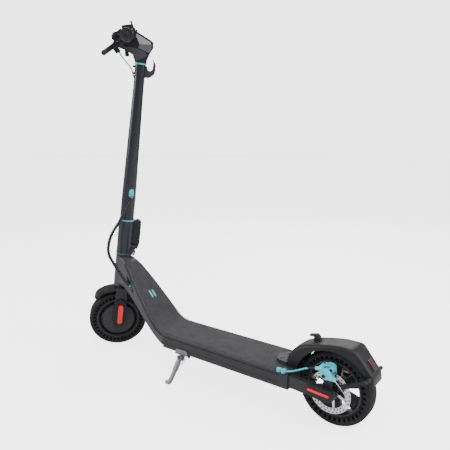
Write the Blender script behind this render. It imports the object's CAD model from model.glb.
"""Finishes and fine detail for the electric kick scooter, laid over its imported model.

Everything is drawn in millimetres in one of two drawing frames: the chassis frame, with the rear axle over
its origin, or the steering frame, which lies along the turned steering axis. Each drawing frame is a matrix
into the model's own frame in metres.
"""
from __future__ import annotations

import logging
import math
from collections.abc import Callable, Iterable, Sequence
from dataclasses import dataclass
from enum import Enum

import bmesh
import bpy
from mathutils import Matrix, Vector
from mathutils.bvhtree import BVHTree


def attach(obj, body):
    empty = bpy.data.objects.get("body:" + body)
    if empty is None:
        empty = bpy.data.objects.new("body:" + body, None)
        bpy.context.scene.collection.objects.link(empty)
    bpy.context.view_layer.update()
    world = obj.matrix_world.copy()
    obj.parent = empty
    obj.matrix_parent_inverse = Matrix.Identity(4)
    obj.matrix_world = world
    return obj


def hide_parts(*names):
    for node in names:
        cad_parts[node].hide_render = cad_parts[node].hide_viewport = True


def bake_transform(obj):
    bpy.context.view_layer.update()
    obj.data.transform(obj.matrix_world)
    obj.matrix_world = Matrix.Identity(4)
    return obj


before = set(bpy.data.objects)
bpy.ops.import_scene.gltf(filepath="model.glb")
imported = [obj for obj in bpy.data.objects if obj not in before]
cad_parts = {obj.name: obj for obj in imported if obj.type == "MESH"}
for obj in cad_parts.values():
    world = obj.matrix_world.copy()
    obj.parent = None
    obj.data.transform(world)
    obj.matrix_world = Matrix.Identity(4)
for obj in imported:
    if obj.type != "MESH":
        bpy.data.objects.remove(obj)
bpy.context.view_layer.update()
LOG = logging.getLogger("scooter")

Rgb = tuple[float, float, float]
Flat = tuple[float, float]
Corners = tuple[tuple[float, ...], ...]
Route = tuple[tuple[float, float, float], ...]
Radius = float | Callable[[float, float], float]

MM = 0.001
UNDER_MIDDLE = Vector((442.53, 55.09, 0.0))
REAR_AXLE = Vector((0.0, 0.0, 108.0))
FRONT_AXLE = Vector((915.0, 0.0, 108.52))
RAKE = math.radians(10.0)
TURNED = math.radians(49.74)
ALONG = Vector((1.0, 0.0, 0.0))
LEFT = Vector((0.0, 1.0, 0.0))
UP = Vector((0.0, 0.0, 1.0))

CHASSIS = Matrix.Scale(MM, 4) @ Matrix.Translation(-UNDER_MIDDLE)
STEERING = (CHASSIS @ Matrix.Translation(FRONT_AXLE) @ Matrix.Rotation(-RAKE, 4, "Y")
            @ Matrix.Rotation(TURNED, 4, "Z"))


# ---- shader groups ------------------------------------------------------------------------------------
class Relief(Enum):
    """Fine relief that a finish carries."""

    GRAIN = "pebbled grain"
    BRUSHED = "brushed lines"
    PRISM = "reflector prisms"
    RIBBED = "moulded ribs"


class Wiring:
    """Adds and links nodes in one node tree."""

    def __init__(self, tree: bpy.types.NodeTree) -> None:
        """Keep the tree to work in."""
        self.tree = tree

    def node(self, kind: str, **inputs: object) -> bpy.types.Node:
        """Add a node and fill or link its inputs.

        Args:
            kind: Node type without its ShaderNode prefix.
            inputs: Values or output sockets by input name, with spaces as underscores. A name in lower case
                sets a property of the node instead.

        Returns:
            The new node.
        """
        made = self.tree.nodes.new("ShaderNode" + kind)
        for name, value in inputs.items():
            if name[0].islower():
                setattr(made, name, value)
        for name, value in inputs.items():
            if not name[0].islower():
                self.feed(made.inputs[name.replace("_", " ")], value)
        return made

    def feed(self, socket: bpy.types.NodeSocket, value: object) -> None:
        """Link an output to a socket, or set its value.

        Args:
            socket: The input socket.
            value: An output socket, a colour or a number.
        """
        if isinstance(value, bpy.types.NodeSocket):
            self.tree.links.new(value, socket)
        elif isinstance(value, tuple) and len(value) == 3 and socket.type == "RGBA":
            socket.default_value = (*value, 1.0)
        else:
            socket.default_value = value

    def math(self, operation: str, first: object, second: object = 0.0, third: object = 0.0,
             clamp: bool = False) -> bpy.types.NodeSocket:
        """Result of a math node on up to three values.

        Args:
            operation: What the node works out.
            first: First value or socket.
            second: Second value or socket.
            third: Third value or socket.
            clamp: Whether the result is kept between 0 and 1.

        Returns:
            The node's output.
        """
        made = self.tree.nodes.new("ShaderNodeMath")
        made.operation = operation
        made.use_clamp = clamp
        for socket, value in zip(made.inputs, (first, second, third)):
            self.feed(socket, value)
        return made.outputs[0]

    def mix(self, share: object, first: object, second: object) -> bpy.types.NodeSocket:
        """Colour mixed from two colours by a share.

        Args:
            share: Share of the second colour.
            first: First colour or socket.
            second: Second colour or socket.

        Returns:
            The node's output.
        """
        made = self.tree.nodes.new("ShaderNodeMix")
        made.data_type = "RGBA"
        self.feed(made.inputs[0], share)
        self.feed(made.inputs[6], first)
        self.feed(made.inputs[7], second)
        return made.outputs[2]

    def group(self, tree: bpy.types.NodeTree, **inputs: object) -> bpy.types.Node:
        """Place a node group and fill its inputs.

        Args:
            tree: The group.
            inputs: Values or output sockets by input name, with spaces as underscores.

        Returns:
            The group's node.
        """
        made = self.tree.nodes.new("ShaderNodeGroup")
        made.node_tree = tree
        for name, value in inputs.items():
            self.feed(made.inputs[name.replace("_", " ")], value)
        return made


class GroupDraft(Wiring):
    """A shader node group with named sockets, being drawn."""

    def __init__(self, name: str, inputs: dict[str, str], outputs: dict[str, str]) -> None:
        """Make the group and its sockets.

        Args:
            name: Name of the group.
            inputs: Socket kinds (Float, Color or Vector) by input name.
            outputs: Socket kinds by output name.
        """
        tree = bpy.data.node_groups.new(name, "ShaderNodeTree")
        super().__init__(tree)
        for kind, sockets in (("INPUT", inputs), ("OUTPUT", outputs)):
            for label, form in sockets.items():
                tree.interface.new_socket(label, in_out=kind, socket_type="NodeSocket" + form)
        self.given = tree.nodes.new("NodeGroupInput").outputs
        self.results = tree.nodes.new("NodeGroupOutput").inputs

    def place(self) -> bpy.types.NodeSocket:
        """Position on the surface, in metres of the model's frame."""
        return self.tree.nodes.new("ShaderNodeTexCoord").outputs["Object"]

    def per_metre(self, size: object) -> bpy.types.NodeSocket:
        """Texture scale for features of a size in millimetres."""
        return self.math("DIVIDE", 1.0 / MM, size)


class Effects:
    """The shader groups that the finishes share, each built once."""

    def __init__(self) -> None:
        """Build every group."""
        self.drift = self._drift()
        self.edges = self._edges()
        self.dust = self._dust()
        self.reliefs = {Relief.GRAIN: self._grain(), Relief.BRUSHED: self._brushed(),
                        Relief.PRISM: self._prism(), Relief.RIBBED: self._ribbed()}

    @staticmethod
    def _drift() -> bpy.types.NodeTree:
        """Slow change of tone and gloss over a surface, with a finer mottle on top.

        Returns:
            The group.
        """
        made = GroupDraft("tone drift", {"Colour": "Color", "Roughness": "Float", "Size mm": "Float",
                                         "Spread": "Float"}, {"Colour": "Color", "Roughness": "Float"})
        slow = made.node("TexNoise", Vector=made.place(), Scale=made.per_metre(made.given["Size mm"]),
                         Detail=3.0, Roughness=0.6)
        fine = made.node("TexNoise", Vector=made.place(),
                         Scale=made.math("MULTIPLY", made.per_metre(made.given["Size mm"]), 14.0), Detail=2.0)
        both = made.math("MULTIPLY_ADD", fine.outputs[0], 0.4, slow.outputs[0])
        swing = made.math("SUBTRACT", both, 0.7)
        lift = made.math("MULTIPLY_ADD", swing, made.given["Spread"], 1.0)
        toned = made.node("VectorMath", operation="SCALE")
        made.feed(toned.inputs[0], made.given["Colour"])
        made.feed(toned.inputs["Scale"], lift)
        made.feed(made.results["Colour"], toned.outputs[0])
        gloss = made.math("MULTIPLY_ADD", swing, made.math("MULTIPLY", made.given["Spread"], 0.6),
                          made.given["Roughness"], clamp=True)
        made.feed(made.results["Roughness"], gloss)
        return made.tree

    @staticmethod
    def _edges() -> bpy.types.NodeTree:
        """Rounded edges with the finish rubbed thin along them.

        Returns:
            The group.
        """
        made = GroupDraft("edge wear", {"Colour": "Color", "Roughness": "Float", "Worn Colour": "Color",
                                        "Amount": "Float", "Radius mm": "Float"},
                          {"Colour": "Color", "Roughness": "Float", "Normal": "Vector"})
        soft = made.node("Bevel", samples=4, Radius=made.math("MULTIPLY", made.given["Radius mm"], MM))
        flat = made.node("NewGeometry")
        dot = made.node("VectorMath", operation="DOT_PRODUCT")
        made.feed(dot.inputs[0], soft.outputs[0])
        made.feed(dot.inputs[1], flat.outputs["Normal"])
        turn = made.math("MULTIPLY", made.math("SUBTRACT", 1.0, dot.outputs["Value"]), 9.0, clamp=True)
        scuff = made.node("TexNoise", Vector=made.place(), Scale=220.0, Detail=5.0, Roughness=0.7)
        broken = made.math("MULTIPLY_ADD", scuff.outputs[0], 3.2, -1.25, clamp=True)
        mask = made.math("MULTIPLY", made.math("MULTIPLY", turn, broken), made.given["Amount"], clamp=True)
        made.feed(made.results["Colour"], made.mix(mask, made.given["Colour"], made.given["Worn Colour"]))
        made.feed(made.results["Roughness"], made.math("MULTIPLY_ADD", mask, -0.12, made.given["Roughness"]))
        made.feed(made.results["Normal"], soft.outputs[0])
        return made.tree

    @staticmethod
    def _dust() -> bpy.types.NodeTree:
        """Thin film of dust on what faces up, in soft patches.

        Returns:
            The group.
        """
        made = GroupDraft("dust film", {"Colour": "Color", "Roughness": "Float", "Amount": "Float"},
                          {"Colour": "Color", "Roughness": "Float"})
        facing = made.node("SeparateXYZ", Vector=made.node("NewGeometry").outputs["Normal"])
        lies = made.math("MULTIPLY_ADD", facing.outputs["Z"], 0.7, 0.3, clamp=True)
        patch = made.node("TexNoise", Vector=made.place(), Scale=38.0, Detail=6.0, Roughness=0.65)
        cover = made.math("MULTIPLY_ADD", patch.outputs[0], 2.4, -0.7, clamp=True)
        mask = made.math("MULTIPLY", made.math("MULTIPLY", lies, cover), made.given["Amount"], clamp=True)
        made.feed(made.results["Colour"], made.mix(mask, made.given["Colour"], (0.34, 0.33, 0.32)))
        made.feed(made.results["Roughness"], made.math("MULTIPLY_ADD", mask, 0.3, made.given["Roughness"],
                                                       clamp=True))
        return made.tree

    @staticmethod
    def _relief(name: str) -> GroupDraft:
        """Start of a relief group, which puts out a height."""
        return GroupDraft(name, {"Size mm": "Float"}, {"Height": "Float"})

    def _grain(self) -> bpy.types.NodeTree:
        """Rounded pebbles of powder coat or moulded plastic.

        Returns:
            The group.
        """
        made = self._relief("pebbled grain")
        cells = made.node("TexVoronoi", Vector=made.place(), Scale=made.per_metre(made.given["Size mm"]),
                          feature="SMOOTH_F1")
        rough = made.node("TexNoise", Vector=made.place(), Scale=made.per_metre(made.given["Size mm"]),
                          Detail=3.0)
        made.feed(made.results["Height"], made.math("ADD", cells.outputs["Distance"], rough.outputs[0]))
        return made.tree

    def _brushed(self) -> bpy.types.NodeTree:
        """Fine lines along the model's length.

        Returns:
            The group.
        """
        made = self._relief("brushed lines")
        stretched = made.node("Mapping", Vector=made.place(), Scale=(0.04, 1.0, 1.0))
        lines = made.node("TexNoise", Vector=stretched.outputs[0],
                          Scale=made.per_metre(made.given["Size mm"]), Detail=4.0)
        made.feed(made.results["Height"], lines.outputs[0])
        return made.tree

    def _prism(self) -> bpy.types.NodeTree:
        """Close-set prisms of a moulded reflector.

        Returns:
            The group.
        """
        made = self._relief("reflector prisms")
        cells = made.node("TexVoronoi", Vector=made.place(), Scale=made.per_metre(made.given["Size mm"]),
                          distance="MANHATTAN", Randomness=0.0)
        made.feed(made.results["Height"], cells.outputs["Distance"])
        return made.tree

    def _ribbed(self) -> bpy.types.NodeTree:
        """Even ribs one above the other.

        Returns:
            The group.
        """
        made = self._relief("moulded ribs")
        height = made.node("SeparateXYZ", Vector=made.place()).outputs["Z"]
        turns = made.math("MULTIPLY", height, made.math("MULTIPLY", made.per_metre(made.given["Size mm"]),
                                                        math.tau))
        made.feed(made.results["Height"], made.math("SINE", turns))
        return made.tree


# ---- finishes -----------------------------------------------------------------------------------------
@dataclass(frozen=True)
class Finish:
    """How one kind of surface looks: its colour, gloss, relief, wear and dust.

    Colours are linear. Sizes are in millimetres.
    """

    name: str
    slot: str
    colour: Rgb
    roughness: float = 0.5
    metallic: float = 0.0
    relief: Relief = Relief.GRAIN
    grain: float = 0.5
    depth: float = 0.03
    drift: float = 0.3
    patch: float = 60.0
    wear: float = 0.25
    worn: Rgb = (0.2, 0.2, 0.21)
    dust: float = 0.06
    edge: float = 0.7
    coat: float = 0.0
    glow: float = 0.0
    specular: float = 0.25

    def build(self, effects: Effects) -> bpy.types.Material:
        """Make the material.

        Args:
            effects: The shared shader groups.

        Returns:
            The material, with its Principled shader fed by the groups.
        """
        material = bpy.data.materials.new(self.name)
        material.use_nodes = True
        wiring = Wiring(material.node_tree)
        shader = material.node_tree.nodes["Principled BSDF"]
        toned = wiring.group(effects.drift, Colour=self.colour, Roughness=self.roughness, Size_mm=self.patch,
                             Spread=self.drift)
        edged = wiring.group(effects.edges, Colour=toned.outputs["Colour"],
                             Roughness=toned.outputs["Roughness"], Worn_Colour=self.worn, Amount=self.wear,
                             Radius_mm=self.edge)
        dusted = wiring.group(effects.dust, Colour=edged.outputs["Colour"],
                              Roughness=edged.outputs["Roughness"], Amount=self.dust)
        relief = wiring.group(effects.reliefs[self.relief], Size_mm=self.grain)
        bump = wiring.node("Bump", Height=relief.outputs["Height"], Normal=edged.outputs["Normal"],
                           Distance=self.depth * MM, Strength=1.0)
        wiring.feed(shader.inputs["Base Color"], dusted.outputs["Colour"])
        wiring.feed(shader.inputs["Roughness"], dusted.outputs["Roughness"])
        wiring.feed(shader.inputs["Normal"], bump.outputs[0])
        shader.inputs["Metallic"].default_value = self.metallic
        shader.inputs["Specular IOR Level"].default_value = self.specular
        shader.inputs["Coat Weight"].default_value = self.coat
        shader.inputs["Coat Roughness"].default_value = 0.08
        if self.glow:
            wiring.feed(shader.inputs["Emission Color"], self.colour)
            shader.inputs["Emission Strength"].default_value = self.glow
        return material


FRAME = Finish("frame_satin_black", "frame_black", (0.024, 0.024, 0.028), 0.40, grain=0.45, depth=0.025)
CASTING = Finish("neck_satin_grey", "frame_black", (0.042, 0.042, 0.048), 0.36, grain=0.45, depth=0.02,
                 drift=0.12)
STEM = Finish("stem_satin_black", "stem_black", (0.011, 0.012, 0.017), 0.32, grain=0.5, depth=0.004,
              drift=0.1, wear=0.08, dust=0.02, specular=0.4)
MAT = Finish("deck_mat_rubber", "mat_grey", (0.029, 0.029, 0.033), 0.70, grain=1.1, depth=0.10, dust=0.08,
             worn=(0.10, 0.10, 0.10), edge=0.5, drift=0.12)
COVER = Finish("moulded_cover_black", "cover_black", (0.009, 0.009, 0.011), 0.42, grain=0.8, depth=0.03)
GLOSS = Finish("gloss_black", "gloss_black", (0.006, 0.006, 0.008), 0.16, depth=0.004, wear=0.05, dust=0.03,
               coat=0.6)
FACET = Finish("head_side_grey", "frame_black", (0.24, 0.235, 0.25), 0.36, grain=0.5, depth=0.012, wear=0.05,
               drift=0.08, specular=0.5)
FACET_LOW = Finish("head_low_side_grey", "frame_black", (0.075, 0.075, 0.084), 0.34, grain=0.5, depth=0.012,
                   wear=0.05, drift=0.08, specular=0.6)
TYRE = Finish("tyre_rubber", "tyre_black", (0.010, 0.010, 0.012), 0.70, grain=0.7, depth=0.06, dust=0.08,
              worn=(0.04, 0.04, 0.04), edge=0.5)
GRIP = Finish("grip_rubber", "grip_rubber", (0.012, 0.012, 0.016), 0.66, grain=0.5, depth=0.05, dust=0.03)
TEAL_PAINT = Finish("teal_plastic", "teal_paint", (0.040, 0.50, 0.58), 0.34, grain=0.6, depth=0.015,
                    worn=(0.3, 0.75, 0.8), dust=0.01, drift=0.12)
TEAL_METAL = Finish("teal_anodised", "teal_metal", (0.045, 0.60, 0.74), 0.34, metallic=0.15, grain=0.35,
                    depth=0.02, worn=(0.5, 0.80, 0.85), dust=0.0, drift=0.12, coat=0.2, glow=0.10)
RED = Finish("red_reflector", "reflector_red", (0.74, 0.010, 0.010), 0.24, relief=Relief.PRISM, grain=2.2,
             depth=0.5, worn=(0.9, 0.08, 0.06), dust=0.0, coat=0.4, drift=0.1, glow=0.30)
LAMP_RED = Finish("tail_lens_red", "lamp_red", (0.060, 0.004, 0.004), 0.22, relief=Relief.RIBBED, grain=3.2,
                  depth=0.5, dust=0.0, coat=0.5, wear=0.1, worn=(0.15, 0.02, 0.02))
LAMP_CLEAR = Finish("head_lens_clear", "lamp_clear", (0.55, 0.57, 0.60), 0.12, relief=Relief.PRISM, grain=3.0,
                    depth=0.4, dust=0.03, coat=0.8, wear=0.0)
STEEL = Finish("bright_steel", "steel_bright", (0.62, 0.62, 0.64), 0.24, metallic=1.0, relief=Relief.BRUSHED,
               grain=0.4, depth=0.01, wear=0.3, worn=(0.8, 0.8, 0.8), dust=0.05, edge=0.3)
DARK_STEEL = Finish("blackened_steel", "steel_bright", (0.05, 0.05, 0.055), 0.36, metallic=0.8, grain=0.3,
                    depth=0.01, wear=0.6, worn=(0.4, 0.4, 0.42), edge=0.3)
STAND = Finish("stand_silver", "stand_silver", (0.20, 0.20, 0.22), 0.44, metallic=0.45, grain=0.5, depth=0.02,
               wear=0.3, worn=(0.4, 0.4, 0.42), dust=0.05)
RIM = Finish("rim_grey", "rim_grey", (0.016, 0.016, 0.019), 0.38, metallic=0.2, grain=0.4, depth=0.015,
             wear=0.4, worn=(0.18, 0.18, 0.19), dust=0.05)
RIM_LIP = Finish("rim_lip_grey", "rim_grey", (0.075, 0.075, 0.080), 0.34, metallic=0.3, grain=0.4, depth=0.01,
                 wear=0.3, worn=(0.25, 0.25, 0.25))
MOTOR = Finish("motor_cover_grey", "frame_black", (0.030, 0.030, 0.034), 0.50, grain=0.6, depth=0.03,
               dust=0.06)
WRAP = Finish("cable_wrap_black", "gloss_black", (0.010, 0.010, 0.012), 0.28, grain=0.3, depth=0.01, wear=0.9,
              worn=(0.25, 0.25, 0.26), edge=0.4)
BATTERY = Finish("battery_wrap_blue", "battery_wrap", (0.03, 0.09, 0.25), 0.40, grain=0.6, depth=0.02)
COPPER = Finish("motor_windings", "copper_iron", (0.42, 0.19, 0.09), 0.42, metallic=0.8, relief=Relief.RIBBED,
                grain=1.2, depth=0.2)
BLACK_HOLE = Finish("recess_black", "cover_black", (0.004, 0.004, 0.004), 0.85, wear=0.0, dust=0.0)
GLASS = Finish("screen_glass", "gloss_black", (0.006, 0.007, 0.010), 0.06, depth=0.0, wear=0.0, dust=0.04,
               coat=1.0)
LIT = Finish("screen_marks", "teal_paint", (0.10, 0.62, 0.66), 0.40, depth=0.0, wear=0.0, dust=0.0, glow=0.5)
MARK = Finish("pale_accent", "teal_paint", (0.10, 0.42, 0.46), 0.50, grain=0.6, depth=0.02, wear=0.2,
              dust=0.0, glow=0.2)


class Workshop:
    """Makes materials once and turns drafts into pieces of the model."""

    def __init__(self) -> None:
        """Build the shared groups and an empty shelf of materials."""
        self.effects = Effects()
        self.shelf: dict[str, bpy.types.Material] = {}

    def material(self, finish: Finish) -> bpy.types.Material:
        """The material of a finish, built the first time it is asked for.

        Args:
            finish: The finish.

        Returns:
            Its material.
        """
        if finish.name not in self.shelf:
            self.shelf[finish.name] = finish.build(self.effects)
        return self.shelf[finish.name]

    def dress(self, node: str, finish: Finish) -> None:
        """Give a CAD node its finish.

        Args:
            node: Name of the CAD node.
            finish: How it looks.
        """
        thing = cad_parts[node]
        thing.data.materials.clear()
        thing.data.materials.append(self.material(finish))
        LOG.info("dressed %s in %s", node, finish.name)


# ---- drawing ------------------------------------------------------------------------------------------
def circle(centre: Vector, first: Vector, second: Vector, steps: int) -> list[Vector]:
    """Points of an ellipse with the given half axes."""
    turns = [math.tau * i / steps for i in range(steps)]
    return [centre + first * math.cos(t) + second * math.sin(t) for t in turns]


def fillet(corners: Sequence[tuple[float, ...]], steps: int = 5) -> list[Flat]:
    """Closed outline with rounded corners.

    Args:
        corners: Corners as (a, b) or (a, b, radius).
        steps: Divisions of each rounded corner.

    Returns:
        The outline's points in order.
    """
    points: list[Flat] = []
    for index, corner in enumerate(corners):
        here = Vector(corner[:2])
        radius = corner[2] if len(corner) > 2 else 0.0
        if not radius:
            points.append((here.x, here.y))
            continue
        back = (Vector(corners[index - 1][:2]) - here).normalized()
        ahead = (Vector(corners[(index + 1) % len(corners)][:2]) - here).normalized()
        half = back.angle(ahead) / 2
        start = here + back * radius / math.tan(half)
        end = here + ahead * radius / math.tan(half)
        centre = here + (back + ahead).normalized() * radius / math.sin(half)
        for step in range(steps + 1):
            spoke = start.lerp(end, step / steps) - centre
            point = centre + spoke.normalized() * radius
            points.append((point.x, point.y))
    return points


def rounded_box(low: Flat, high: Flat, radius: float, steps: int = 5) -> list[Flat]:
    """Rectangle with rounded corners.

    Args:
        low: Corner with the lowest coordinates.
        high: Opposite corner.
        radius: Radius of every corner.
        steps: Divisions of each rounded corner.

    Returns:
        The outline's points in order.
    """
    corners = ((*low, radius), (high[0], low[1], radius), (*high, radius), (low[0], high[1], radius))
    return fillet(corners, steps)


def on_side(points: Iterable[Flat], across: float) -> list[Vector]:
    """Outline in the x, z plane at a distance to the left."""
    return [Vector((a, across, b)) for a, b in points]


def smooth_route(route: Sequence[Vector], pitch: float) -> list[Vector]:
    """Even points along the smooth line of a cable's route.

    Args:
        route: Control points of the line.
        pitch: Distance between the points returned.

    Returns:
        Points from one end to the other.
    """
    curve = bpy.data.curves.new("route", "CURVE")
    curve.dimensions = "3D"
    curve.resolution_u = 24
    line = curve.splines.new("NURBS")
    line.points.add(len(route) - 1)
    for knot, point in zip(line.points, route):
        knot.co = (*point, 1.0)
    line.order_u = 3
    line.use_endpoint_u = True
    holder = bpy.data.objects.new("route", curve)
    mesh = bpy.data.meshes.new_from_object(holder)
    dense = [vertex.co.copy() for vertex in mesh.vertices]
    bpy.data.objects.remove(holder)
    bpy.data.meshes.remove(mesh)
    bpy.data.curves.remove(curve)
    return even_points(dense, pitch)


def places(route: Route) -> list[Vector]:
    """A route's points as vectors."""
    return [Vector(point) for point in route]


def even_points(dense: Sequence[Vector], pitch: float) -> list[Vector]:
    """The same line with points a set distance apart.

    Args:
        dense: Points close together along the line.
        pitch: Distance between the points returned.

    Returns:
        Points from one end to the other.
    """
    runs = [0.0]
    for first, second in zip(dense, dense[1:]):
        runs.append(runs[-1] + (second - first).length)
    count = max(2, round(runs[-1] / pitch))
    points = []
    index = 0
    for step in range(count + 1):
        target = runs[-1] * step / count
        while index < len(runs) - 2 and runs[index + 1] < target:
            index += 1
        share = (target - runs[index]) / max(runs[index + 1] - runs[index], 1e-9)
        points.append(dense[index].lerp(dense[index + 1], min(max(share, 0.0), 1.0)))
    return points


class Draft:
    """A mesh being drawn in millimetres of one drawing frame."""

    def __init__(self, place: Matrix = CHASSIS) -> None:
        """Start an empty mesh.

        Args:
            place: From the drawing frame to the model's frame.
        """
        self.place = place
        self.mesh = bmesh.new()

    def ring(self, points: Iterable[Vector]) -> list[bmesh.types.BMVert]:
        """Add vertices."""
        return [self.mesh.verts.new(point) for point in points]

    def skin(self, rings: Sequence[Sequence[bmesh.types.BMVert]], closed: bool = True,
             wrap: bool = False) -> Draft:
        """Join neighbouring rings with quads.

        Args:
            rings: Rings of equal length.
            closed: Whether each ring joins its own ends.
            wrap: Whether the last ring joins the first.

        Returns:
            The draft itself.
        """
        pairs = list(zip(rings, rings[1:]))
        if wrap:
            pairs.append((rings[-1], rings[0]))
        for first, second in pairs:
            count = len(first)
            for i in range(count if closed else count - 1):
                j = (i + 1) % count
                self.mesh.faces.new((first[i], first[j], second[j], second[i]))
        return self

    def loft(self, sections: Sequence[Sequence[Vector]]) -> Draft:
        """Skin closed sections, with flat ends.

        Args:
            sections: Closed outlines with as many points each.

        Returns:
            The draft itself.
        """
        rings = [self.ring(section) for section in sections]
        self.skin(rings)
        self.mesh.faces.new(list(reversed(rings[0])))
        self.mesh.faces.new(rings[-1])
        return self

    def prism(self, outline: Sequence[Vector], depth: Vector) -> Draft:
        """Push a closed outline along a vector."""
        return self.loft([outline, [point + depth for point in outline]])

    def turn(self, profile: Sequence[Flat], centre: Vector = Vector(), axis: Vector = LEFT,
             steps: int = 72) -> Draft:
        """Turn a closed profile about an axis.

        Args:
            profile: Points as (distance along the axis, radius).
            centre: A point on the axis.
            axis: Direction of the axis.
            steps: Divisions of the full turn.

        Returns:
            The draft itself.
        """
        line = axis.normalized()
        first = line.orthogonal().normalized()
        second = line.cross(first)
        thinnest = 1e-4
        rings = []
        for along, reach in profile:
            radius = max(reach, thinnest)
            rings.append(self.ring(circle(centre + line * along, first * radius, second * radius, steps)))
        return self.skin(rings, wrap=True)

    def tube(self, path: Sequence[Vector], radius: Radius, steps: int = 16) -> Draft:
        """Round tube along a path.

        Args:
            path: Points of the middle line.
            radius: Radius, or a function of the run along the path and the angle round it.
            steps: Divisions round the tube.

        Returns:
            The draft itself.
        """
        ahead = (path[1] - path[0]).normalized()
        first = ahead.orthogonal().normalized()
        run = 0.0
        sections = []
        for index, point in enumerate(path):
            before, after = path[max(index - 1, 0)], path[min(index + 1, len(path) - 1)]
            following = (after - before).normalized()
            first = (ahead.rotation_difference(following).to_matrix() @ first).normalized()
            ahead = following
            second = ahead.cross(first)
            run += (point - path[index - 1]).length if index else 0.0
            section = []
            for i in range(steps):
                angle = math.tau * i / steps
                reach = radius(run, angle) if callable(radius) else radius
                section.append(point + (first * math.cos(angle) + second * math.sin(angle)) * reach)
            sections.append(section)
        return self.loft(sections)

    def piece(self, shop: Workshop, name: str, finish: Finish, body: str | None, bevel: float = 0.0,
              angle: float = 38.0) -> bpy.types.Object:
        """Turn the draft into a finished piece.

        Args:
            shop: Where the material comes from.
            name: Name of the piece.
            finish: How it looks.
            body: The body it rides on, or None if it is blended afterwards.
            bevel: Width of a bevel on its sharp edges, or 0.
            angle: Edges sharper than this stay sharp, in degrees.

        Returns:
            The piece.
        """
        bmesh.ops.remove_doubles(self.mesh, verts=self.mesh.verts, dist=2e-3)
        bmesh.ops.dissolve_degenerate(self.mesh, edges=self.mesh.edges, dist=1e-4)
        bmesh.ops.recalc_face_normals(self.mesh, faces=self.mesh.faces)
        mesh = bpy.data.meshes.new(name)
        self.mesh.to_mesh(mesh)
        self.mesh.free()
        mesh.transform(self.place)
        mesh.shade_smooth()
        mesh.set_sharp_from_angle(angle=math.radians(angle))
        made = bpy.data.objects.new(name, mesh)
        bpy.context.scene.collection.objects.link(made)
        mesh.materials.append(shop.material(finish))
        if bevel:
            rounding = made.modifiers.new("rounded edges", "BEVEL")
            rounding.width = bevel * MM
            rounding.segments = 2
            rounding.limit_method = "ANGLE"
            rounding.angle_limit = math.radians(angle)
            rounding.harden_normals = True
        if body:
            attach(made, body)
        LOG.info("built %s on %s", name, body)
        return made


class Skin:
    """The outside of a CAD node, to lay thin things on."""

    def __init__(self, place: Matrix, *nodes: str) -> None:
        """Read the nodes' meshes.

        Args:
            place: Drawing frame in which points are given and returned.
            nodes: The CAD nodes.
        """
        back = place.inverted()
        points: list[Vector] = []
        faces: list[list[int]] = []
        for node in nodes:
            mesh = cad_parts[node].data
            start = len(points)
            points += [back @ vertex.co for vertex in mesh.vertices]
            faces += [[start + i for i in polygon.vertices] for polygon in mesh.polygons]
        self.tree = BVHTree.FromPolygons(points, faces)

    def drop(self, start: Vector, way: Vector, lift: float) -> Vector:
        """Where a ray meets the surface, lifted off it.

        Args:
            start: Where the ray starts.
            way: Direction of the ray.
            lift: How far off the surface the point is moved back.

        Returns:
            The point, or the start if the ray misses.
        """
        hit, _, _, _ = self.tree.ray_cast(start, way)
        spot = hit if hit is not None else start
        return spot - way.normalized() * lift


def decal(skin: Skin, outline: Sequence[Vector], way: Vector, lift: float, place: Matrix = CHASSIS) -> Draft:
    """Thin pad on a curved surface.

    Args:
        skin: The surface.
        outline: Grid rows' ends as pairs of points, in order along the pad.
        way: Direction in which the outline is dropped onto the surface.
        lift: How far the pad stands proud.
        place: Drawing frame.

    Returns:
        A draft with the pad in it.
    """
    draft = Draft(place)
    columns, sunk = 8, 0.6
    top, low = [], []
    for first, second in zip(outline[::2], outline[1::2]):
        row = [first.lerp(second, i / columns) for i in range(columns + 1)]
        top.append(draft.ring(skin.drop(point, way, lift) for point in row))
        low.append(draft.ring(skin.drop(point, way, -sunk) for point in row))
    draft.skin(top, closed=False)
    draft.skin([list(reversed(row)) for row in low], closed=False)
    for first, second in zip(top, top[1:]):
        below, after = low[top.index(first)], low[top.index(second)]
        draft.mesh.faces.new((first[0], second[0], after[0], below[0]))
        draft.mesh.faces.new((second[-1], first[-1], below[-1], after[-1]))
    for upper, lower in ((top[0], low[0]), (top[-1], low[-1])):
        for i in range(columns):
            draft.mesh.faces.new((upper[i], upper[i + 1], lower[i + 1], lower[i]))
    return draft


# ---- wheels -------------------------------------------------------------------------------------------
@dataclass(frozen=True)
class Assembly:
    """A sub-assembly that is drawn piece by piece in the workshop."""

    shop: Workshop

    def dress(self, *pairs: tuple[str, Finish]) -> None:
        """Give CAD nodes their finishes."""
        for node, finish in pairs:
            self.shop.dress(node, finish)

    def build(self) -> None:
        """Make every piece, which each sub-assembly does in its own way."""
        raise NotImplementedError


@dataclass(frozen=True)
class Hole:
    """Rounded hole through a ring: where its middle is, and its half length and half width."""

    middle: float
    reach: float
    half_width: float
    squareness: float = 0.7


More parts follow.
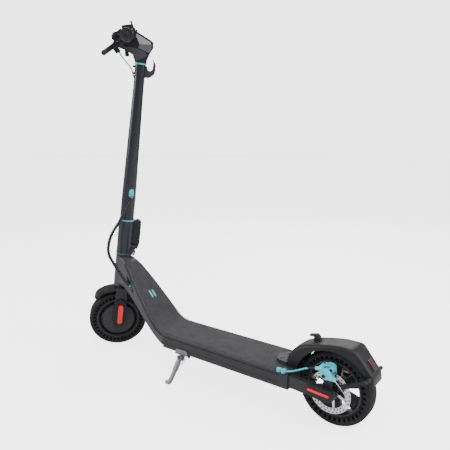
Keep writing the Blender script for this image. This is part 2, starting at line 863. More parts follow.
@dataclass(frozen=True)
class HoledBand:
    """Flat or bulged ring about the y axis with evenly spaced holes right through it."""

    inner: float
    outer: float
    cells: int
    hole: Hole
    phase: float = 0.0
    sides: int = 16

    def edge_angles(self) -> list[float]:
        """Angles of the vertices along the band's inner and outer edge.

        Returns:
            The angles in order, four to a hole.
        """
        half = math.pi / self.cells
        part = math.tan(math.pi / 8)
        return [(2 * cell + self.phase + share) * half for cell in range(self.cells)
                for share in (-1.0, -part, 0.0, part)]

    def draw(self, draft: Draft, centre: Vector, height: Callable[[float], float]) -> None:
        """Add the band to a draft.

        Args:
            draft: Where it is drawn.
            centre: Middle of the band.
            height: Half thickness at a radius.
        """
        half = math.pi / self.cells
        middle, spread = (self.inner + self.outer) / 2, (self.outer - self.inner) / 2
        for cell in range(self.cells):
            turn = (2 * cell + self.phase) * half
            loops: list[list[bmesh.types.BMVert]] = []
            for face, scale in ((1, 0.0), (1, 1.12), (1, 1.0), (-1, 1.0), (-1, 1.12), (-1, 0.0)):
                loop = []
                for step in range(self.sides):
                    angle = math.tau * step / self.sides
                    a, b = math.cos(angle), math.sin(angle)
                    if scale:
                        a = math.copysign(abs(a) ** self.hole.squareness, a) * self.hole.half_width * scale
                        b = math.copysign(abs(b) ** self.hole.squareness, b) * self.hole.reach * scale
                        radius, swing = self.hole.middle + b, turn + a / self.hole.middle
                    else:
                        most = max(abs(a), abs(b))
                        radius, swing = middle + b / most * spread, turn + a / most * half
                    sunk = 0.5 if scale == 1.0 else 0.0
                    loop.append(polar(centre, face * (height(radius) - sunk), radius, swing))
                loops.append(draft.ring(loop))
            draft.skin(loops)


def polar(centre: Vector, across: float, radius: float, angle: float) -> Vector:
    """Point at a radius and angle about the y axis."""
    return centre + Vector((radius * math.cos(angle), across, radius * math.sin(angle)))


@dataclass(frozen=True)
class SolidTyre:
    """Airless tyre with a row of round holes through its side walls and a grooved tread."""

    rim: float = 80.0
    bead: float = 82.0
    shoulder: float = 95.0
    half: float = 25.0
    bead_half: float = 19.0
    cells: int = 38
    tread: tuple[Flat, ...] = ((24.7, 98.5), (23.2, 102.2), (20.6, 105.2), (17.0, 107.0), (14.6, 107.6),
                               (14.2, 106.2), (12.4, 106.2), (12.0, 107.8), (7.4, 107.9), (7.0, 106.4),
                               (5.2, 106.4), (4.8, 108.0))

    def wall(self, radius: float) -> float:
        """Half width of the tyre at a radius below its shoulder."""
        share = min(max((radius - self.rim) / (self.shoulder - self.rim), 0.0), 1.0)
        return self.bead_half + (self.half - self.bead_half) * math.sin(share * math.pi / 2)

    def build(self, shop: Workshop, node: str, body: str, place: Matrix, centre: Vector) -> None:
        """Make the tyre in place of its plain CAD ring.

        Args:
            shop: Where the material comes from.
            node: The CAD tyre that it replaces.
            body: The body that it rides on.
            place: The wheel's drawing frame.
            centre: The wheel's middle.
        """
        draft = Draft(place)
        band = HoledBand(self.bead, self.shoulder, self.cells, Hole(88.6, 4.7, 3.5))
        band.draw(draft, centre, self.wall)
        outline = [(self.half, self.shoulder), *self.tread]
        outline += [(-across, radius) for across, radius in reversed(outline)]
        seat = [(self.wall(self.bead), self.bead), (self.bead_half, self.rim)]
        seat += [(-across, radius) for across, radius in reversed(seat)]
        angles = band.edge_angles()
        for profile in (outline, seat):
            draft.skin([draft.ring(polar(centre, across, radius, angle) for angle in angles)
                        for across, radius in profile])
        made = draft.piece(shop, node + "_honeycomb", TYRE, body, angle=32.0)
        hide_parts(node)


@dataclass(frozen=True)
class Wheels(Assembly):
    """Tyres, rim lips, cover screws, hub caps and the drilled brake disc."""

    lip: float = 1.1
    front_lip: Flat = (20.2, 77.6)
    rear_lip: Flat = (19.6, 76.4)
    screws: int = 6
    screw_ring: float = 53.0
    disc_inner: float = 44.0
    disc_split: float = 52.0
    disc_outer: float = 60.0
    disc_faces: Flat = (43.0, 45.0)
    disc_holes: int = 30
    disc_hole: float = 2.1
    carrier_arms: int = 6

    def build(self) -> None:
        """Make both wheels' details."""
        tyre = SolidTyre()
        tyre.build(self.shop, "front_tyre", "front_wheel", STEERING, Vector())
        tyre.build(self.shop, "rear_tyre", "rear_wheel", CHASSIS, REAR_AXLE)
        self._lips("front_rim_lips", "front_wheel", STEERING, Vector(), self.front_lip)
        self._lips("rear_rim_lips", "rear_wheel", CHASSIS, REAR_AXLE, self.rear_lip)
        self._cover_screws()
        self._disc()
        self.dress(("motor_shell", COVER), ("motor_covers", MOTOR), ("motor_stator", COPPER),
                   ("front_axle", STEEL), ("rear_rim", RIM), ("rear_wheel_bearings", STEEL),
                   ("rear_axle", STEEL))

    def _lips(self, name: str, body: str, place: Matrix, centre: Vector, seat: Flat) -> None:
        """Bright rolled lip on each side of a rim.

        Args:
            name: Name of the piece.
            body: The body that it rides on.
            place: The wheel's drawing frame.
            centre: The wheel's middle.
            seat: Distance from the wheel's middle plane, and radius.
        """
        draft = Draft(place)
        for way in (-1, 1):
            profile = [(way * seat[0] + self.lip * math.cos(t), seat[1] + self.lip * math.sin(t))
                       for t in (math.tau * i / 10 for i in range(10))]
            draft.turn(profile, centre, steps=128)
        draft.piece(self.shop, name, RIM_LIP, body)

    def _cover_screws(self) -> None:
        """Socket screws round the motor covers, and a raised ring on each cover."""
        draft = Draft(STEERING)
        sockets = Draft(STEERING)
        for way in (-1, 1):
            for index in range(self.screws):
                spot = polar(Vector(), way * 25.4, self.screw_ring, math.tau * index / self.screws + 0.3)
                draft.turn([(0.0, 0.0), (0.0, 3.1), (1.6, 3.1), (2.2, 2.4), (2.2, 0.0)], spot, LEFT * way, 20)
                sockets.turn([(2.0, 0.0), (2.0, 1.4), (2.3, 1.4), (2.3, 0.0)], spot, LEFT * way, 6)
        draft.piece(self.shop, "motor_cover_screws", DARK_STEEL, "front_wheel")
        sockets.piece(self.shop, "motor_cover_sockets", BLACK_HOLE, "front_wheel")

    def _disc(self) -> None:
        """Drilled brake disc on a six-armed carrier."""
        low, high = self.disc_faces
        half = (high - low) / 2
        centre = REAR_AXLE + LEFT * (low + half)
        draft = Draft()
        for inner, outer, edge, phase in ((self.disc_inner, self.disc_split, self.disc_inner, 0.0),
                                          (self.disc_split, self.disc_outer, self.disc_outer, 1.0)):
            hole = Hole((inner + outer) / 2, self.disc_hole, self.disc_hole, 1.0)
            band = HoledBand(inner, outer, self.disc_holes, hole, phase)
            band.draw(draft, centre, lambda radius: half)
            draft.skin([draft.ring(polar(centre, face * half, edge, angle) for angle in band.edge_angles())
                        for face in (-1, 1)])
        draft.turn([(-half, 10.0), (-half, 20.0), (half, 20.0), (half, 10.0)], centre)
        for index in range(self.carrier_arms):
            start = math.tau * index / self.carrier_arms
            arm = [polar(centre, -half, radius, start + lean) for radius, lean in
                   ((18.0, -0.30), (31.0, 0.02), (45.0, 0.16), (45.0, 0.30), (30.0, 0.25), (18.0, 0.14))]
            draft.prism(arm, LEFT * 2 * half)
        made = draft.piece(self.shop, "brake_disc_drilled", STEEL, "rear_wheel")
        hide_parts("brake_disc")
        bolts = Draft()
        for index in range(self.carrier_arms):
            spot = polar(centre, half, 16.0, math.tau * (index + 0.5) / self.carrier_arms)
            bolts.turn([(0.0, 0.0), (0.0, 2.6), (1.4, 2.6), (1.8, 2.0), (1.8, 1.2), (0.8, 1.2), (0.8, 0.0)],
                       spot, LEFT, 18)
        bolts.piece(self.shop, "brake_disc_bolts", DARK_STEEL, "rear_wheel")


# ---- mudguards ----------------------------------------------------------------------------------------
def guard_skin(draft: Draft, stations: Sequence[tuple[Vector, Vector, float]], corner: float,
               thickness: float) -> None:
    """Moulded mudguard skin swept through its stations.

    Args:
        draft: Where it is drawn.
        stations: Crown point, skirt point and half width of each section.
        corner: Radius of the rounded shoulder between crown and skirt.
        thickness: Wall thickness.
    """
    outer, inner = [], []
    for crown, skirt, half in stations:
        for depth, rings in ((0.0, outer), (thickness, inner)):
            drop = (skirt - crown)
            inward = drop.normalized()
            top = crown + inward * depth
            wide = half - depth
            bend = min(corner, drop.length * 0.9)
            line = [skirt + LEFT * wide, skirt.lerp(top + inward * bend, 0.5) + LEFT * wide]
            for step in range(7):
                turn = math.pi / 2 * step / 6
                line.append(top + inward * bend * (1 - math.sin(turn))
                            + LEFT * (wide - bend * (1 - math.cos(turn))))
            crowned = top - inward * 0.6
            line += [crowned + LEFT * wide * 0.35]
            rings.append(draft.ring(line + [p - LEFT * 2 * p.y for p in reversed(line)]))
    draft.skin(outer, closed=False)
    draft.skin([list(reversed(ring)) for ring in inner], closed=False)
    count = len(outer[0])
    for first, second in ((outer[0], inner[0]), (outer[-1], inner[-1])):
        for i in range(count - 1):
            draft.mesh.faces.new((first[i], first[i + 1], second[i + 1], second[i]))
    for side in (0, count - 1):
        for i in range(len(outer) - 1):
            draft.mesh.faces.new((outer[i][side], outer[i + 1][side], inner[i + 1][side], inner[i][side]))


@dataclass(frozen=True)
class RearGuard(Assembly):
    """Rear mudguard with its hook, screwed tongue, stay bosses and tail light."""

    arch: float = 113.4
    lowest: float = math.radians(17.2)
    half: float = 38.6
    corner: float = 11.0
    wall: float = 3.0
    crown: tuple[Flat, ...] = ((141.0, 141.0), (141.0, 152.0), (140.4, 163.0), (136.0, 175.0), (127.0, 189.0),
                               (116.0, 201.0), (103.0, 210.0), (84.0, 218.5), (60.0, 226.0), (36.0, 231.5),
                               (10.0, 236.6), (-14.0, 239.6), (-36.0, 240.0), (-50.0, 239.8), (-58.5, 238.0),
                               (-65.5, 233.0), (-80.0, 215.4), (-95.0, 196.9), (-107.0, 182.1),
                               (-111.6, 175.5), (-113.4, 168.5), (-114.4, 152.5))
    hook: Corners = ((49, 225), (55, 239, 5), (62, 246, 3), (86, 240, 1.6), (85.4, 235, 1.4), (70, 237, 4),
                     (72, 219))
    hook_half: float = 6.5
    boss: Flat = (-103.0, 172.0)
    lamp_middle: Vector = Vector((-94.95, 0.0, 197.0))
    lamp_rise: Vector = Vector((0.63, 0.0, 0.776))
    lamp_half: Flat = (14.0, 18.0)

    def build(self) -> None:
        """Make the guard and what is fixed to it."""
        stations = []
        for a, b in self.crown:
            top = Vector((a, 0.0, b))
            angle = math.atan2(b - REAR_AXLE.z, a)
            angle = min(max(angle, self.lowest), math.pi - self.lowest)
            narrowing = 2.0 * min(max((-60.0 - a) / 50.0, 0.0), 1.0)
            stations.append((top, polar(REAR_AXLE, 0.0, self.arch, angle), self.half - narrowing))
        draft = Draft()
        guard_skin(draft, stations, self.corner, self.wall)
        made = draft.piece(self.shop, "rear_mudguard", COVER, "chassis", angle=50.0)
        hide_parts("rear_fender")
        hook = Draft().prism(on_side(fillet(self.hook), -self.hook_half), LEFT * 2 * self.hook_half)
        hook.piece(self.shop, "mudguard_hook", COVER, "chassis", bevel=0.9)
        bosses = Draft()
        for way in (-1, 1):
            spot = Vector((self.boss[0], way * (self.half - 8.0), self.boss[1]))
            bosses.turn([(0.0, 0.0), (0.0, 6.4), (17.6, 5.2), (17.6, 0.0)], spot, LEFT * way, 28)
        bosses.piece(self.shop, "mudguard_bosses", COVER, "chassis", bevel=0.4)
        self.dress(("fender_plate", MOTOR), ("fender_stay", COVER), ("tail_light", LAMP_RED))
        bezel = Draft()
        outward = Vector((-self.lamp_rise.z, 0.0, self.lamp_rise.x))
        wide, high = self.lamp_half
        outline = [self.lamp_middle + self.lamp_rise * b + LEFT * a
                   for a, b in rounded_box((-wide, -high), (wide, high), 3.0)]
        bezel.prism([point - outward * 1.5 for point in outline], outward * 3.6)
        bezel.piece(self.shop, "tail_light_bezel", COVER, "chassis", bevel=0.8)


@dataclass(frozen=True)
class FrontGuard(Assembly):
    """Front mudguard over the tyre, ahead of the fork."""

    hub: Flat = (8.0, 6.0)
    crown: float = 121.0
    skirt: float = 110.5
    half: float = 31.0
    corner: float = 7.5
    wall: float = 2.6
    start: float = 42.0
    end: float = 112.0

    def build(self) -> None:
        """Make the guard in place of its CAD arc."""
        centre = Vector((self.hub[0], 0.0, self.hub[1]))
        stations = []
        steps = 22
        for step in range(steps + 1):
            share = step / steps
            angle = math.radians(self.start + (self.end - self.start) * share)
            near_tip = max(0.0, 1.0 - share * 7.0)
            half = self.half - 7.0 * near_tip ** 2
            crown = self.crown - 5.0 * near_tip ** 2
            stations.append((polar(centre, 0.0, crown, angle), polar(centre, 0.0, self.skirt, angle), half))
        draft = Draft(STEERING)
        guard_skin(draft, stations, self.corner, self.wall)
        made = draft.piece(self.shop, "front_mudguard", COVER, "fork", angle=50.0)
        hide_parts("front_fender")


# ---- cables and brakes --------------------------------------------------------------------------------
@dataclass(frozen=True)
class WrappedBundle(Assembly):
    """Cable bundle in spiral wrap from the stem to the neck, in two lengths that meet beside the fork."""

    core: float = 4.9
    wrap: float = 1.3
    turn: float = 9.0
    upper: Route = ((-7, 28.5, 492), (-6.5, 28.8, 482), (-3, 32, 462), (9, 40, 432), (28, 49, 396),
                    (49, 57, 358), (59.5, 60.5, 318), (57, 62, 276))
    lower: Route = ((849, 66, 341), (826, 61, 309), (804, 55.5, 283.5), (791, 47.8, 268.2),
                    (782.4, 41.3, 257.5))
    upper_share: float = 0.6
    pitch: float = 0.9

    def build(self) -> None:
        """Make both lengths."""
        route = [STEERING @ point for point in places(self.upper)]
        route += [CHASSIS @ point for point in places(self.lower)]
        line = smooth_route([point / MM for point in route], self.pitch)
        half = round(len(line) * self.upper_share)
        into_metres = Matrix.Scale(MM, 4)
        halves = (("cable_bundle_upper", line[:half + 1], 0.0, ("stem", "fork")),
                  ("cable_bundle_lower", line[half:], self._length(line[:half + 1]), ("fork", "chassis")))
        for name, points, done, bodies in halves:
            draft = Draft(into_metres)
            draft.tube(points, lambda run, angle, done=done: self._reach(run + done, angle), 20)
            made = draft.piece(self.shop, name, WRAP, None, angle=70.0)
            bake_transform(made)
            if name == "cable_bundle_upper":
                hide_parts("main_cable")

    def _reach(self, run: float, angle: float) -> float:
        """Radius of the wrapped bundle at a run along it and an angle round it."""
        wave = math.sin(angle + math.tau * run / self.turn)
        return self.core + self.wrap * min(max(0.5 + 2.2 * wave, 0.0), 1.0)

    @staticmethod
    def _length(points: Sequence[Vector]) -> float:
        """Length of a line of points."""
        return sum((second - first).length for first, second in zip(points, points[1:]))


@dataclass(frozen=True)
class BrakeLine(Assembly):
    """Teal brake cable at the lever and at the caliper, with its boot, bare wire end and ferrule."""

    radius: float = 2.4
    front: Route = ((77, 62, 976), (66, 46, 960), (50, 30, 946), (36, 14, 934), (27, 5, 921), (22, 1, 908),
                    (17, 0, 897))
    rear: Route = ((121, 75.5, 144.5), (100, 76.5, 151), (77, 76.5, 163), (54, 75.5, 174.5), (30, 75, 181))
    wire: Route = ((-30, 86.5, 168), (-52, 84, 148), (-70, 80, 118))
    wire_radius: float = 0.8

    def build(self) -> None:
        """Make the cables and their ends."""
        front = Draft(STEERING).tube(smooth_route(places(self.front), 2.0), self.radius, 14)
        made = front.piece(self.shop, "lever_cable_sheath", TEAL_PAINT, "stem")
        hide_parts("lever_cable")
        rear = Draft().tube(smooth_route(places(self.rear), 2.0), self.radius, 14)
        made = rear.piece(self.shop, "rear_cable_sheath", TEAL_PAINT, "chassis")
        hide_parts("rear_brake_cable")
        boot = Draft()
        before, tip = places(self.rear[-2:])
        profile = [(-2.0, 0.0), (-2.0, 4.6), (3.0, 4.8)]
        for rib in range(4):
            start = 4.0 + rib * 3.6
            groove = 3.6 - rib * 0.1
            profile += [(start, 4.6 - rib * 0.3), (start + 1.0, groove), (start + 2.4, groove)]
        profile += [(19.0, 3.2), (22.0, 2.6), (22.0, 0.0)]
        boot.turn(profile, tip, before - tip, 28)
        boot.piece(self.shop, "caliper_cable_boot", COVER, "chassis")
        bare = Draft().tube(smooth_route(places(self.wire), 1.5), self.wire_radius, 8)
        bare.piece(self.shop, "brake_wire_tail", STEEL, "caliper_arm")
        crimp = Draft()
        before, end = places(self.wire[-2:])
        crimp.turn([(-1.0, 0.0), (-1.0, 1.4), (5.0, 1.4), (5.0, 0.0)], end, before - end, 12)
        crimp.piece(self.shop, "brake_wire_ferrule", STEEL, "caliper_arm")


@dataclass(frozen=True)
class Caliper(Assembly):
    """Cable-pulled disc caliper, turned about the arm's pivot."""

    pivot: Vector = Vector((0.0, 0.0, 172.0))
    cable_end: Vector = Vector((30.0, 75.0, 181.0))

    def build(self) -> None:
        """Make the caliper's casting, lobes, grooved barrel, shadow gaps and bolts."""
        face = fillet(((-14.0, 159.0, 5.0), (11.0, 159.0, 4.0), (20.0, 168.0, 6.0), (20.0, 183.0, 8.0),
                       (4.0, 191.0, 8.0), (-13.0, 189.0, 8.0)))
        over = fillet(((-13.0, 173.0, 3.0), (19.0, 173.0, 3.0), (19.0, 183.0, 7.0), (4.0, 190.0, 8.0),
                       (-12.0, 188.0, 7.0)))
        blocks = ((face, 49.0, 12.0), (face, 34.5, 4.6), (over, 38.0, 12.0))
        for index, (outline, low, depth) in enumerate(blocks):
            block = Draft().prism(on_side(outline, low), LEFT * depth)
            made = block.piece(self.shop, f"caliper_casting_{index + 1}", TEAL_METAL, "chassis", bevel=1.6)
            if not index:
                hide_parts("caliper_body")
        lobes = Draft()
        for x, z, size, low, high in ((21.0, 178.5, 5.6, 50.0, 72.0), (-12.0, 184.0, 7.0, 56.0, 69.0),
                                      (15.0, 187.0, 5.8, 56.0, 76.0)):
            lobes.turn([(low, 0.0), (low, size), (high - 1.2, size), (high, size - 1.4), (high, 0.0)],
                       Vector((x, 0.0, z)), LEFT, 30)
        stop = Vector((8.0, 75.0, 185.0))
        lobes.turn([(0.0, 0.0), (0.0, 5.2), (20.0, 5.2), (22.0, 4.4), (22.0, 0.0)], stop,
                   self.cable_end - stop, 30)
        lobes.piece(self.shop, "caliper_lobes", TEAL_METAL, "chassis")
        barrel = Draft()
        barrel.turn([(60.0, 0.0), (60.0, 14.6), (67.0, 14.6), (67.4, 13.2), (68.8, 13.2), (69.2, 14.8),
                     (77.6, 14.8), (79.8, 13.2), (80.2, 10.2), (79.2, 9.6), (79.2, 0.0)], self.pivot, LEFT, 48)
        barrel.piece(self.shop, "caliper_barrel", TEAL_METAL, "chassis")
        gaps = Draft()
        for near, far, inner, outer in ((61.0, 62.2, 14.0, 16.2), (67.6, 68.6, 12.8, 14.0)):
            gaps.turn([(near, inner), (near, outer), (far, outer), (far, inner)], self.pivot, LEFT, 48)
        seam = fillet(((-8.0, 186.6, 1.0), (12.0, 183.4, 1.0), (12.0, 185.6, 1.0), (-8.0, 188.8, 1.0)))
        gaps.prism(on_side(seam, 60.8), LEFT * 0.6)
        gaps.piece(self.shop, "caliper_shadow_gaps", BLACK_HOLE, "chassis")
        bolts = Draft()
        for spot, size in ((Vector((21.0, 71.4, 178.5)), 3.6), (Vector((-12.0, 68.4, 184.0)), 4.2),
                           (Vector((-9.0, 61.0, 163.0)), 3.0)):
            bolts.turn([(0.0, 0.0), (0.0, size), (2.4, size), (3.2, size - 0.8), (3.2, size * 0.5),
                        (1.2, size * 0.5), (1.2, 0.0)], spot, LEFT, 24)
        bolts.turn([(0.0, 0.0), (0.0, 5.2), (2.2, 5.2), (3.0, 4.4), (3.0, 2.6), (0.6, 2.6), (0.6, 0.0)],
                   self.pivot + LEFT * 87.6, LEFT, 24)
        bolts.piece(self.shop, "caliper_bolts", DARK_STEEL, "chassis")
        self.dress(("caliper_arm", TEAL_METAL), ("brake_pads", COPPER), ("cable_glands", TEAL_PAINT))


# ---- chassis ------------------------------------------------------------------------------------------
@dataclass(frozen=True)
class Chassis(Assembly):
    """Deck, neck, mat, rear arms and side stand.

    A station of the neck has its top middle point, its bottom middle point and its half width.
    """

    stand_pivot: Vector = Vector((512.0, 84.0, 79.0))
    stand_foot: Vector = Vector((518.0, 130.0, 5.5))
    stations: tuple[tuple[Flat, Flat, float], ...] = (
        ((597.0, 141.0), (597.0, 95.0), 77.0), ((628.0, 149.0), (634.0, 107.0), 71.5),
        ((660.0, 173.0), (675.0, 133.0), 67.0), ((697.0, 212.0), (716.0, 166.0), 62.5),
        ((737.0, 255.0), (757.0, 197.0), 54.5), ((777.0, 298.0), (802.0, 225.0), 45.5),
        ((812.0, 333.0), (840.0, 241.5), 36.0))
    deck_half: float = 77.0
    deck_top: float = 141.0
    accent_run: Flat = (724.0, 682.0)
    accent_half: float = 3.6
    accent_gap: float = 7.0

    def build(self) -> None:
        """Dress the chassis and add its details."""
        self.dress(("deck_shell", FRAME), ("neck_casting", CASTING), ("bottom_cover", COVER),
                   ("deck_mat", MAT), ("battery_pack", BATTERY), ("controller", STEEL),
                   ("charge_port", COVER), ("charge_cap", GRIP), ("rear_frame", FRAME),
                   ("arm_covers", COVER), ("rear_reflectors", RED), ("kickstand_bracket", STAND),
                   ("headset_bearings", STEEL), ("chassis_fasteners", DARK_STEEL))
        self._mat_edge()
        self._cable_slot()
        self._accent_mark()
        self._side_slots()
        self._stand_spring()
        self._nut_rings()

    def _mat_edge(self) -> None:
        """Black beads along both edges of the mat, and grey piping along its shoulders."""
        for name, finish, drop, inset, radius in (("mat_edge_beads", BLACK_HOLE, 12.0, 0.0, 0.9),
                                                  ("mat_shoulder_piping", RIM_LIP, 3.1, 3.1, 0.8)):
            draft = Draft()
            for way in (-1, 1):
                path = [Vector((x, way * (self.deck_half - inset), self.deck_top - drop))
                        for x in (142.0, 300.0, 450.0, 580.0)]
                for top, bottom, half in self.stations:
                    high, low = Vector((top[0], 0.0, top[1])), Vector((bottom[0], 0.0, bottom[1]))
                    path.append(high - (high - low).normalized() * drop + LEFT * way * (half - inset))
                draft.tube(smooth_route(path, 6.0), radius, 8)
            draft.piece(self.shop, name, finish, "chassis")

    def _cable_slot(self) -> None:
        """Long dark slot in the neck's left side, into which the bundle drops."""
        skin = Skin(CHASSIS, "neck_casting")
        way = Vector((-0.3, -1.0, -0.35))
        edges = []
        for x, z, half in ((826.0, 309.0, 0.6), (818.0, 300.0, 3.0), (806.0, 287.0, 4.4), (794.0, 273.0, 5.0),
                           (786.0, 264.0, 4.6), (779.0, 256.0, 2.2)):
            edges += [Vector((x - half, 80.0, z + half)), Vector((x + half, 80.0, z - half))]
        decal(skin, edges, way, 0.25, CHASSIS).piece(self.shop, "neck_cable_slot", BLACK_HOLE, "chassis")

    def _accent_mark(self) -> None:
        """Two plain accent bars of one length, side by side on the neck's mat."""
        skin = Skin(CHASSIS, "deck_mat")
        high, low = self.accent_run
        rows = 8
        for name, across in (("neck_accent_left", self.accent_gap), ("neck_accent_right", -self.accent_gap)):
            edges = []
            for row in range(rows + 1):
                share = row / rows
                x = high + (low - high) * share - 40.0
                half = self.accent_half * min(1.0, math.sqrt(max(0.06, 1.0 - (2 * share - 1.0) ** 8)))
                edges += [Vector((x, across - half, 300.0)), Vector((x, across + half, 300.0))]
            pad = decal(skin, edges, Vector((0.68, 0.0, -0.73)), 0.2, CHASSIS)
            pad.piece(self.shop, name, MARK, "chassis")

    def _side_slots(self) -> None:
        """Narrow dark seams where the neck meets the deck, on both sides."""
        for way, label in ((1, "left"), (-1, "right")):
            skin = Skin(CHASSIS, "neck_casting", "deck_shell")
            for index, (x, low, high) in enumerate(((600.5, 103.0, 132.0), (580.0, 112.0, 118.0),
                                                    (560.5, 112.0, 118.0))):
                if way < 0 and index:
                    continue
                edges = []
                for z in (high, (high + low) / 2, low):
                    edges += [Vector((x - 1.1, way * 100.0, z)), Vector((x + 1.1, way * 100.0, z))]
                draft = decal(skin, edges, Vector((0.0, -way, 0.0)), 0.15, CHASSIS)
                draft.piece(self.shop, f"neck_seam_{label}_{index + 1}", BLACK_HOLE, "chassis")

    def _stand_spring(self) -> None:
        """Coil spring, bolt socket and rubber stop of the side stand."""
        leg = (self.stand_foot - self.stand_pivot).normalized()
        axis = ALONG.cross(leg).normalized()
        start = self.stand_pivot + axis * -11.0 - ALONG * 13.0 + UP * 3.0
        way = (leg * 0.8 + ALONG * 0.15).normalized()
        first = way.orthogonal().normalized()
        second = way.cross(first)
        turns, length, radius, steps = 9, 24.0, 3.0, 160
        path = []
        for step in range(steps + 1):
            turn = math.tau * turns * step / steps
            path.append(start + way * (length * step / steps)
                        + (first * math.cos(turn) + second * math.sin(turn)) * radius)
        Draft().tube(path, 0.6, 7).piece(self.shop, "stand_spring", STEEL, "chassis")
        self._stand_leg(leg, axis)
        stop = Draft()
        stop.turn([(0.0, 0.0), (0.0, 5.0), (6.0, 5.0), (8.0, 3.4), (8.0, 0.0)],
                  Vector((486.0, 70.0, 88.0)), -UP, 24)
        stop.piece(self.shop, "stand_stop", GRIP, "chassis", bevel=0.4)
        socket = Draft()
        socket.turn([(11.05, 0.0), (11.05, 2.6), (11.25, 2.6), (11.25, 0.0)], self.stand_pivot, axis, 6)
        socket.piece(self.shop, "stand_bolt_socket", BLACK_HOLE, "chassis")

    def _stand_leg(self, leg: Vector, axis: Vector) -> None:
        """Broad cast leg of the side stand, curving forwards into its foot.

        Args:
            leg: Direction from the pivot to the foot.
            axis: Direction of the pivot bolt.
        """
        pivot, foot = self.stand_pivot, self.stand_foot
        route = [pivot + leg * run for run in (2.0, 30.0, 60.0)]
        route += [foot + UP * 2.5 - leg * 2.0, foot + ALONG * 9.0 + UP * 1.5, foot + ALONG * 16.0 + UP * 1.8]
        line = smooth_route(route, 2.0)
        draft = Draft()
        sections = []
        for index, point in enumerate(line):
            share = index / (len(line) - 1)
            ahead = (line[min(index + 1, len(line) - 1)] - line[max(index - 1, 0)]).normalized()
            across = ahead.cross(axis).normalized()
            wide = (6.4 + 2.4 * min(share * 5.0, 1.0)) if share < 0.42 else 6.9
            thick = 6.0 if share < 0.42 else 5.2
            if share > 0.9:
                wide, thick = wide * 0.86, thick * 0.92
            sections.append([point + across * (wide * a) + axis * (thick * b) for a, b in
                             rounded_box((-1, -1), (1, 1), 0.5, 3)])
        draft.loft(sections)
        hub = [(-7.0, 3.4), (-7.0, 7.4), (-6.4, 8.0), (6.4, 8.0), (7.0, 7.4), (7.0, 3.4)]
        draft.turn(hub, pivot, axis, 40)
        made = draft.piece(self.shop, "stand_leg_cast", STAND, "kickstand", bevel=0.3)
        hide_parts("kickstand_leg")

    def _nut_rings(self) -> None:
        """Raised rings round the axle on the rear arm covers."""
        draft = Draft()
        for way in (-1, 1):
            draft.turn([(72.0, 10.6), (72.0, 11.4), (84.6, 13.4), (84.6, 11.8), (84.0, 11.2)],
                       REAR_AXLE, LEFT * way, 48)
        draft.piece(self.shop, "rear_arm_cover_rings", COVER, "chassis")


